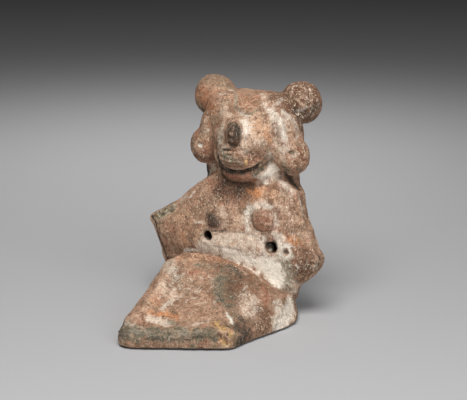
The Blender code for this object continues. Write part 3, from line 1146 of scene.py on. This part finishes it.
NECK = (
    Mark("lime", ((264, 178), (270, 173), (276, 167)), 2.4, flat=0.3, lime=1.0),
    Mark("bright lime", ((263, 180), (266, 177)), 0.9, soft=CRISP, lime=1.0),
    Mark("lime down the shoulder", ((274, 175), (282, 182), (290, 190)), 2.4, lime=0.6),
    Mark("lime on the collar", ((258, 184), (263, 181)), 1.2, lime=0.5),
    Mark("lime left of the throat", ((214, 164), (212, 170), (206, 176)), 1.4, lime=0.55, moss=0.5),
    Mark("red left of the throat", ((209, 178), (212, 184)), 1.8, rose=0.6, umber=0.3),
    # Painted shadow in the gaps behind the neck
    Mark("dark gap at the nape", ((286, 173), (293, 180), (301, 187)), 1.8, height=-0.4, soft=1.3, soot=1.0),
    Mark("dark gap at the left of the nape", ((208, 166), (208.5, 173)), 1.3, soot=1.0),
)

LEFT_EAR_DISC = (
    Mark("lime in the dent", ((199.6, 145), (201.2, 145.6)), 1.1, height=-0.3, flat=0.5, soft=CRISP, lime=1.0,
         moss=0.2),
    Mark("brown skin", ((196, 140), (198, 152), (205, 154)), 2.6, umber=0.5, rose=0.3, specks=0.5),
    # Painted shade on the underside and the far left rim of the disc
    Mark("dark underside", ((196, 156), (204, 159.5), (210, 157)), 2.0, umber=0.8, soot=0.2),
    Mark("dark rim", ((193, 138), (192.5, 148)), 1.0, umber=0.5, moss=0.5),
    Mark("red side", ((207, 146), (204, 153)), 2.4, rose=0.6, umber=0.2),
    Mark("lime above it", ((207, 131), (210, 129.5)), 0.7, soft=CRISP, lime=0.9),
    Mark("pale left lock", ((208, 120), (203, 132)), 2.8, pale=0.4, moss=0.3, specks=0.6),
)

RIGHT_EAR_DISC = (
    Mark("green dimple", ((290.6, 152.4), (292.6, 152.8)), 1.0, height=-0.6, soft=CRISP, moss=1.0, soot=0.4),
    Mark("lime under the dimple", ((290.5, 156.5), (295, 156), (297, 153.5)), 0.9, lime=0.45),
    Mark("lime left of the dimple", ((284, 148), (282, 156)), 1.6, lime=0.45, pale=0.5),
    Mark("red skin", ((303, 144), (306, 154), (300, 164)), 3.4, rough=0.4, rose=0.4, umber=0.65, ochre=0.3,
         specks=0.8),
    # Painted shade on the underside of the disc
    Mark("dark underside", ((284, 167), (292, 172), (300, 171)), 1.8, umber=0.6, moss=0.6, soot=0.3),
    Mark("pale part", ((281, 150), (284, 160)), 2.6, pale=0.35, moss=0.3),
    Mark("lime beside it", ((269, 150), (272, 157)), 1.4, lime=0.5, moss=0.4),
)

EYE = (
    Mark("pit", ((259.7, 132),), 0.65, height=-0.9, soft=CRISP, soot=0.9, ragged=0.1),
    Mark("lime beside the pit", ((256.8, 132.8),), 0.6, height=0.2, soft=CRISP, lime=1.0),
    Mark("pit in the valley", ((278.7, 143.4),), 0.6, height=-0.6, soft=CRISP, soot=1.0, ragged=0.1),
    Mark("faint eye", ((253.5, 118.8), (257.5, 118.3)), 0.8, height=-0.35, ochre=0.6, soot=0.3),
    Mark("lid of the faint eye", ((251.5, 122.4), (256, 122)), 0.55, height=0.25, soft=CRISP, lime=0.9),
)

LEFT_ARM = (
    Mark("broken end", ((154, 215.5), (162, 212.5), (171, 208.5)), 2.0, height=-0.35, rough=0.7, layers=0.7,
         flat=0.5, moss=0.7, umber=0.4, specks=0.6),
    Mark("front of the broken end", ((158, 220), (164, 216)), 1.6, rough=0.4, moss=0.5),
    Mark("ridge beside the break", ((173, 208), (167, 214), (161, 221)), 0.6, height=0.3, pale=0.6),
    # Painted shade where the arm's back edge turns away
    Mark("dark back edge", ((151.5, 216.5), (154.5, 222), (156.5, 230), (159, 240), (163, 250), (168, 259)),
         1.0, height=-0.3, soft=1.3, soot=1.0),
    Mark("hollow behind it", ((152, 219), (155, 229), (159, 239), (163, 249)), 3.0, height=-0.7),
    Mark("facet of the left shoulder", ((182, 203), (191, 195)), 3.2, umber=0.45),
    Mark("streak on the left shoulder", ((190, 197), (195, 191)), 0.7, height=-0.25, soft=1.3, lime=0.8),
    Mark("lime on the left shoulder", ((176, 204), (186, 196)), 1.0, lime=0.4),
    Mark("warm front", ((172, 222), (186, 228), (182, 243)), 6.0, umber=0.15, ochre=0.3, pale=0.25),
    Mark("orange spots", ((182, 235), (186, 240)), 1.6, ochre=0.6),
    Mark("brown left chest", ((196, 206), (206, 200), (214, 198)), 4.2, umber=0.5, specks=0.7),
    Mark("pit", ((185.7, 217.5),), 0.8, height=-0.6, soft=CRISP, soot=0.9, ragged=0.1),
)

LEFT_BREAST = (
    Mark("sooty side", ((212.5, 216.5), (214.5, 222)), 3.3, soot=0.85, umber=1.0),
    Mark("brown middle", ((211, 219), (216, 222)), 4.2, umber=1.0, rose=0.3),
    Mark("red foot", ((212, 226.5), (218, 226)), 1.8, rose=0.9, umber=0.4),
    Mark("tan top", ((214, 207), (222, 208)), 2.0, pale=0.6),
    Mark("pale right", ((223, 213), (226, 220), (223, 227)), 1.9, pale=0.9, lime=0.3),
    Mark("lime left of it", ((196, 222.5), (204, 222)), 0.8, lime=0.6),
    # Painted shadow in the fold under the breast
    Mark("fold below it", ((212, 231), (219, 231.5), (226, 230)), 0.75, height=-0.6, soft=1.3, moss=0.6,
         soot=0.8),
    Mark("pale middle of the chest", ((229, 212), (238, 222)), 4.6, pale=0.75),
    Mark("red middle of the chest", ((231, 206), (234, 212)), 1.8, rose=0.75),
    Mark("brown breastbone", ((240, 203), (250, 206)), 2.4, rose=0.45, umber=0.3),
)

RIGHT_BREAST = (
    Mark("red middle", ((261, 219), (265, 221)), 4.4, flat=0.6, soft=1.3, rose=0.6, umber=0.4, rough=0.25),
    Mark("orange foot", ((257, 228), (264, 230)), 1.1, ochre=0.5, rose=0.6),
    # Painted shade on the lower left rim of the breast
    Mark("edge", ((251.5, 213), (252, 222), (256.5, 229.5), (263, 232)), 0.7, height=-0.4, soft=1.3,
         soot=0.35, umber=0.5),
    Mark("lime left of it", ((249, 229), (247, 222), (247.5, 214), (251, 209)), 1.8, height=-0.2, lime=0.85),
    Mark("lime above it", ((252, 208), (258, 205.5), (264, 204.5), (270, 207)), 1.8, lime=0.7),
    Mark("lime right of it", ((274, 211), (277, 218), (275, 226)), 1.8, height=-0.2, lime=0.4),
    # Warm clay, with pale painted light on the side turned away from the key lamp
    Mark("warm right side of the trunk", ((304, 190), (308, 208), (312, 224), (318, 242)), 7.5, height=-1.0,
         flat=0.55, soft=1.1, ragged=0.1, ochre=0.2, pale=0.25, specks=0.5),
    Mark("pink spots below it", ((275.3, 228), (276.6, 231)), 0.9, rose=1.0),
    Mark("orange chest", ((251, 190), (257, 186), (257, 194)), 3.0, ochre=0.9),
    Mark("faded orange chest", ((262, 190), (273, 195)), 3.2, ochre=0.35, pale=0.3),
)

HOLES = (
    Mark("worn ring of the left hole", ((201.4, 236), (202.5, 231.6), (206.5, 229.6), (211, 231.5)), 0.7,
         height=-0.3, moss=0.6, pale=0.6),
    Mark("lime under the left hole", ((202, 242), (211, 241)), 1.8, lime=0.5, moss=0.3),
    Mark("crumbs in the right hole", ((270.5, 244), (272, 247.5), (271, 250.5)), 1.5, height=0.8, rough=0.8,
         soft=1.4, moss=1.0, lime=0.9),
    Mark("crumb low in the right hole", ((271, 251), (273, 249)), 0.9, height=0.9, rough=0.6, soft=CRISP,
         moss=1.0, lime=0.6),
    Mark("ragged rim of the right hole", ((265, 244), (269, 240), (275, 241), (277, 247)), 0.8, height=-0.45,
         rough=0.4, soot=0.6),
    Mark("red notch above the right hole", ((271, 238), (274, 238.6)), 0.8, height=-0.3, rose=0.8, umber=0.6),
    Mark("lime left of the right hole", ((264, 237), (262.5, 249), (266, 258)), 1.8, lime=0.75),
    Mark("lime right of the right hole", ((279.5, 241), (281, 249), (283, 258)), 2.0, lime=0.85),
    Mark("lime above the right hole", ((276, 234), (284, 239)), 1.8, lime=0.7),
    Mark("lime below the right hole", ((268, 258), (276, 260)), 2.0, lime=0.85),
    Mark("lime around the small hole", ((281, 256), (286, 259), (291, 255), (289.5, 247), (285, 245.5)), 1.3,
         lime=0.95),
    Mark("clay in the small hole", ((286, 252.3),), 1.1, soft=CRISP, umber=1.0, soot=0.3, height=-0.6,
         ragged=0.15),
)

BELLY = (
    Mark("pale middle", ((214, 240), (228, 239), (242, 240), (256, 243)), 4.2, lime=0.6, pale=0.9),
    Mark("limy middle", ((202, 247), (215, 249), (230, 250), (245, 253), (258, 257)), 3.2, lime=0.78,
         pale=0.5),
    Mark("lime line in the fold", ((203, 249.5), (214, 251.5), (226, 254)), 0.8, lime=0.9, moss=0.3),
    Mark("thick lime in the fold", ((226, 253.5), (240, 257.5), (250, 261), (258, 264.5), (266, 269.5),
         (273, 275.5), (279, 281)), 2.2, height=0.15, flat=0.55, lime=1.0),
    Mark("wide lime at the hip", ((264, 262), (272, 266), (277, 273), (280, 279)), 3.2, flat=0.4, lime=1.0),
    Mark("lime at the left of the fold", ((186, 250.5), (193, 249.5), (200, 250)), 1.0, height=0.1, lime=0.85,
         moss=0.3),
    Mark("first orange fleck", ((232, 245), (238, 243)), 0.8, soft=1.3, ochre=0.9),
    Mark("second orange fleck", ((244.3, 240), (244.3, 246)), 0.5, soft=1.3, ochre=0.9),
    Mark("third orange fleck", ((232, 250.5), (249, 250.5)), 0.6, soft=1.3, ochre=0.9),
    Mark("fourth orange fleck", ((258, 248), (259, 253)), 1.0, ochre=0.6),
    Mark("pink fleck", ((254, 241), (257, 244)), 1.1, rose=0.6),
    Mark("upper crease", ((222, 232), (240, 232.5), (252, 235), (262, 240)), 0.6, height=-0.35, umber=0.5),
    Mark("lower crease", ((214, 247), (228, 248), (242, 251.5)), 0.5, height=-0.25, moss=0.5),
    Mark("orange beside the small hole", ((287, 238.5), (297, 241)), 2.1, ochre=0.8),
)

RIGHT_ARM = (
    Mark("red front", ((295, 250), (308, 258)), 6.0, rose=0.35, umber=0.3, specks=0.8),
    Mark("speckled top", ((292, 232), (304, 236)), 4.0, lime=0.25, ochre=0.25, specks=0.8),
    Mark("dark end", ((301, 271), (312, 264)), 4.8, umber=1.0, rough=0.5, soot=0.42, specks=0.8),
    Mark("dark patch", ((306, 252), (315, 258)), 3.0, umber=0.9),
    Mark("broken end", ((321, 261), (317, 270), (308, 277), (300, 282)), 1.6, height=-0.3, rough=0.7,
         umber=0.8, soot=0.4),
    Mark("pale strokes of the broken end", ((318.5, 263), (315, 270)), 0.6, soft=1.3, lime=0.6, rose=0.3),
    Mark("dark tip", ((320, 256.5),), 1.3, soft=1.3, soot=1.0),
    Mark("lime blob", ((299, 267.8), (296.5, 265)), 0.9, height=0.35, soft=1.3, lime=1.0),
    Mark("lime on the right shoulder", ((301, 195), (304, 205), (305, 214)), 1.2, lime=0.55),
    Mark("lime dot on the right shoulder", ((291.6, 200),), 0.5, soft=CRISP, lime=1.0),
    Mark("pale right chest", ((284, 205), (290, 218)), 4.6, pale=0.25, lime=0.15, specks=0.4),
    Mark("grey hip", ((286, 264), (290, 274), (287, 284)), 3.4, lime=0.35, moss=0.8),
    Mark("lime below it", ((291, 284), (294, 290)), 2.4, lime=0.6, moss=0.6),
)

LAP = (
    Mark("orange crest", ((178, 257.5), (186, 256), (198, 256), (209, 259)), 2.0, ochre=0.6, pale=0.6),
    Mark("brown crest", ((214, 259.5), (228, 262), (242, 267)), 1.9, umber=0.3, ochre=0.4, rose=0.3),
    Mark("orange left end of the crest", ((160, 270), (168, 263)), 1.4, ochre=0.5),
    Mark("orange left edge", ((157, 281), (144, 300)), 1.2, ochre=0.3),
    Mark("brown far crest", ((248, 272), (258, 280), (268, 290)), 2.2, umber=0.55, ochre=0.2),
    Mark("lime streak by the crest", ((245, 266), (252, 270), (261, 278)), 0.6, height=0.15, soft=1.3,
         lime=0.85),
    Mark("second streak by the crest", ((240, 268), (247, 274)), 0.5, soft=1.3, lime=0.6),
    # Grey and brown stain, partly painted shade where the lap turns away from the light
    Mark("dark top", ((220, 267), (230, 270), (238, 275)), 3.0, soot=0.6, moss=0.4),
    Mark("grey band", ((223, 277), (220, 288), (221, 300)), 3.4, moss=0.8, soot=0.42),
    Mark("dark core of the band", ((228, 276), (230, 284), (231, 294)), 2.8, soot=0.45, umber=0.8),
    Mark("grey foot of the band", ((232, 297), (231, 308), (236, 316)), 3.0, moss=0.5, soot=0.42, umber=0.4),
    Mark("brown right of the band", ((240, 277), (238, 290)), 3.4, umber=0.9),
    Mark("brown under the crest", ((250, 279), (256, 287)), 2.8, umber=0.6),
    Mark("haze on the right", ((247, 297), (250, 304), (246, 312)), 4.0, lime=0.4, pale=0.5, specks=0.9),
    Mark("bright grains of the haze", ((249, 299), (252, 306), (250, 312)), 2.6, lime=0.4),
    Mark("lime on the right", ((256, 308), (252, 317)), 1.8, lime=0.55),
    Mark("first limy patch on the left", ((171, 267), (175, 277)), 2.2, lime=0.45, moss=0.4),
    Mark("second limy patch on the left", ((164, 288), (170, 292), (176, 297)), 3.2, lime=0.3, pale=0.6),
    Mark("third limy patch on the left", ((163, 309), (167, 304), (172, 301)), 1.4, lime=0.65),
    Mark("speckled middle of the left", ((178, 280), (188, 290)), 4.0, lime=0.15, umber=0.45, specks=0.8),
    *several("scratch", (((204, 286.5), (197.5, 294)), ((201, 286), (195, 292)), ((196, 304.5), (206, 302.5)),
        ((181, 276.5), (185.5, 272)), ((188, 272), (192, 281)), ((172, 284), (177, 279)),
        ((189, 289), (193, 285)), ((166, 282), (172, 287)), ((178, 299), (184, 294)),
        ((208, 291), (213, 286)), ((184, 304), (188, 300)), ((170, 273), (176, 270)),
        ((209, 276), (214, 280)), ((243, 290), (248, 286)), ((246, 294), (253, 300)),
        ((240, 303), (246, 299)), ((255, 295), (259, 302)), ((158, 300), (163, 296)),
        ((243, 309), (249, 306)), ((246, 316), (251, 311)), ((251, 298), (256, 304)),
        ((238, 297), (242, 294)), ((257, 306), (260, 310)), ((191, 299), (198, 298)),
        ((174, 290), (181, 288)), ((214, 303), (218, 298)), ((198, 276), (204, 279))), 0.4, height=-0.15,
        soft=1.5, lime=0.75),
    Mark("pink patch", ((190, 273.5), (198, 271)), 2.0, rose=0.75),
    Mark("grey top", ((200, 266), (212, 270)), 2.4, moss=0.4, umber=0.3),
    Mark("rosy front", ((186, 312), (202, 312), (210, 300)), 4.6, rose=0.3, moss=0.2),
)

TOES = (
    Mark("orange above the toes", ((151, 314.5), (164, 314), (176, 317)), 1.5, ochre=0.7),
    Mark("faded orange above it", ((155, 303), (162, 306)), 2.0, ochre=0.35),
    Mark("pale toes", ((150, 319), (158, 321), (166, 325.5)), 2.2, pale=1.0, lime=0.65),
    Mark("rosy toes", ((138, 318), (144, 324)), 2.0, rose=0.4, pale=0.4),
    Mark("grey beside the pale toes", ((171, 323), (176, 326)), 1.8, pale=0.5, moss=0.8),
    Mark("lime blob at the corner", ((228, 317), (231, 320), (232.5, 324.5)), 1.1, height=0.3, flat=0.3,
         soft=1.3, lime=1.0),
    Mark("lime drop above it", ((226.5, 313), (227.5, 315)), 0.6, soft=1.3, lime=1.0),
)

SKIRT_SIDE = (
    Mark("red right of the lap", ((264, 287), (267, 296), (266, 306)), 1.9, rose=0.6, umber=0.4),
    Mark("brown right of the skirt", ((262, 311), (266, 320), (262, 329)), 4.2, umber=0.95, ochre=0.35,
         rough=0.4, specks=0.8),
    Mark("full left side", ((171, 266), (163, 279), (152, 295), (141, 311), (134, 319)), 6.0, height=2.0,
         flat=0.3, ragged=0.05),
    # The dark side of the toes and above it are mostly painted shade, and the dark foot of the skirt is a
    # painted contact shadow
    Mark("dark side of the toes", ((242, 329), (248, 336), (241, 344)), 4.3, flat=0.3, soot=0.78, umber=0.6,
         moss=0.4, rough=0.2),
    Mark("dark above the toes' side", ((242, 323), (253, 326)), 2.6, soot=0.5),
    Mark("dark foot of the skirt", ((254, 341), (274, 333.5)), 1.3, soot=0.6),
    Mark("rosy hip", ((281, 295.5), (290, 296)), 1.6, height=0.2, soft=1.3, rose=0.6, pale=0.5),
    Mark("eroded limy hip", ((292, 303), (290, 312), (286, 320), (280, 328)), 2.6, height=-0.6, flat=0.6,
         lime=0.85),
    Mark("limy hip beside it", ((279, 306), (280, 318), (277, 326)), 2.3, flat=0.3, lime=0.7, moss=0.4),
    Mark("yellow edge of the hip", ((296, 300), (297, 312), (294, 322)), 0.8, cream=0.4, pale=0.6,
         height=0.3),
    Mark("swelling behind the hip", ((295, 287), (296, 296)), 3.0, height=1.2),
)

TOES_FRONT = (
    # Green stain on the toes' front, partly darkened with painted shade
    Mark("green middle", ((120, 330), (135, 333), (155, 334.5), (175, 335), (195, 335), (210, 334)), 3.0,
         flat=0.4, moss=0.85, soot=0.42, rough=0.35, layers=0.7),
    Mark("dark left", ((121, 331), (127, 337)), 2.0, soot=0.6, moss=0.5),
    Mark("dark middle", ((148, 338), (160, 335), (172, 340)), 2.2, soot=0.5),
    Mark("dark right", ((194, 331), (203, 338), (213, 336)), 2.6, soot=0.55),
    Mark("light part", ((133, 331), (148, 333)), 1.4, lime=0.35, pale=0.3),
    Mark("second light part", ((172, 336), (190, 332)), 1.3, lime=0.3, pale=0.3),
    Mark("pale crack", ((184, 330), (193, 333), (203, 331)), 0.4, soft=1.3, lime=0.6),
    Mark("brown lip below it", ((124, 345), (150, 347.5), (180, 348.5), (210, 349), (232, 348.5)), 1.5,
         height=0.3, rough=0.4, layers=0.2, umber=0.85, ochre=0.3, moss=0.3),
    Mark("limy edge", ((124, 324), (133, 326), (143, 328)), 1.0, lime=0.5, rough=0.3),
    Mark("limy middle of the edge", ((186, 328), (196, 324.5), (207, 322)), 1.0, lime=0.45, rough=0.3),
    Mark("dark left corner", ((121.5, 327), (124.5, 323.5)), 1.0, soft=1.4, soot=0.85),
)

CHIP = (
    Mark("yellow hollow", ((217, 325), (221, 327), (224, 329)), 1.9, height=-0.8, rough=0.8, cream=0.7,
         ochre=0.2, umber=0.85),
    Mark("chip at the corner", ((230, 334), (234, 341)), 1.9, height=-0.6, rough=0.5, cream=0.45, umber=0.4),
    Mark("brown hollow", ((220, 337), (226, 344)), 2.6, height=-0.6, rough=0.7, cream=0.3, ochre=0.3,
         umber=0.5),
    Mark("first pit", ((215, 324.5),), 0.6, height=-0.3, soft=CRISP, soot=1.0),
    Mark("second pit", ((228.5, 335.5),), 0.8, height=-0.6, soft=CRISP, soot=1.0),
    Mark("third pit", ((220, 335.5), (222, 338)), 0.8, height=-0.4, soft=CRISP, soot=0.9),
    Mark("fourth pit", ((225, 322.5), (227, 325)), 0.5, height=-0.4, soft=CRISP, soot=0.7),
    Mark("orange spot", ((229, 329.5), (233, 332.5)), 0.7, soft=1.3, ochre=1.0),
    Mark("worn corner", ((236.5, 331), (237.5, 340), (236, 348)), 0.8, cream=0.35, pale=0.2),
)

MARKS = (
    *LEFT_BUN, *RIGHT_BUN, *FOREHEAD, *RIGHT_LOCK, *CHEEK, *NOSE, *MUZZLE, *JAW, *NECK,
    *LEFT_EAR_DISC, *RIGHT_EAR_DISC, *EYE, *LEFT_ARM, *LEFT_BREAST, *RIGHT_BREAST, *HOLES, *BELLY,
    *RIGHT_ARM, *LAP, *TOES, *SKIRT_SIDE, *TOES_FRONT, *CHIP,
)


@dataclass(frozen=True)
class Lamp:
    """A soft square light, in metres and watts."""

    name: str
    place: tuple[float, float, float]
    looks_at: tuple[float, float, float]
    side: float
    power: float
    tint: Colour = (1.0, 1.0, 1.0)
    spread: float = 180.0  # full width of its beam in degrees

    def hang(self) -> None:
        """Hangs the lamp at its place, with its middle pointing at what it looks at."""
        data = bpy.data.lights.new(self.name, "AREA")
        data.shape = "SQUARE"
        data.size = self.side
        data.energy = self.power
        data.color = self.tint
        data.spread = math.radians(self.spread)
        lamp = bpy.data.objects.new(self.name, data)
        lamp.location = self.place
        lamp.rotation_euler = (Vector(self.place) - Vector(self.looks_at)).to_track_quat("Z", "Y").to_euler()
        bpy.context.scene.collection.objects.link(lamp)


@dataclass
class Studio:
    """Pale floor, soft lamps and the dim room around them, in metres."""

    floor_finish: FloorFinish = field(default_factory=FloorFinish)
    floor_side: float = 8.0
    room_light: float = 0.012
    lamps: tuple[Lamp, ...] = (
        Lamp("key", (0.10, -0.35, 0.60), (0.0, 0.0, 0.05), 0.40, 4.7, (1.0, 0.99, 0.97)),
        Lamp("fill", (0.63, -0.45, 0.40), (0.0, 0.0, 0.05), 0.60, 2.8, (0.98, 0.99, 1.0)),
        Lamp("floor", (-0.165, 0.321, 0.45), (-0.165, 0.321, 0.0), 0.30, 0.24, (1.0, 1.0, 1.0), 80.0),
    )

    def build(self) -> None:
        """Lays the floor, hangs the lamps and lights the room."""
        half = self.floor_side / 2
        mesh = bpy.data.meshes.new("floor")
        corners = [(-half, -half, 0.0), (half, -half, 0.0), (half, half, 0.0), (-half, half, 0.0)]
        mesh.from_pydata(corners, [], [(0, 1, 2, 3)])
        mesh.materials.append(self.floor_finish.material())
        floor = bpy.data.objects.new("floor", mesh)
        bpy.context.scene.collection.objects.link(floor)
        for lamp in self.lamps:
            lamp.hang()
        world = bpy.data.worlds.new("room")
        world.use_nodes = True
        sky = world.node_tree.nodes["Background"]
        sky.inputs["Color"].default_value = (1.0, 1.0, 1.0, 1.0)
        sky.inputs["Strength"].default_value = self.room_light
        bpy.context.scene.world = world
        bpy.context.scene.view_settings.view_transform = "Standard"
        log.info("studio: floor and %d lamps", len(self.lamps))


def main() -> None:
    """Builds the scene in order."""
    camera = PhotoCamera()
    camera.place()
    Studio().build()
    ClaySkin(camera).build()


if __name__ == "__main__":
    main()
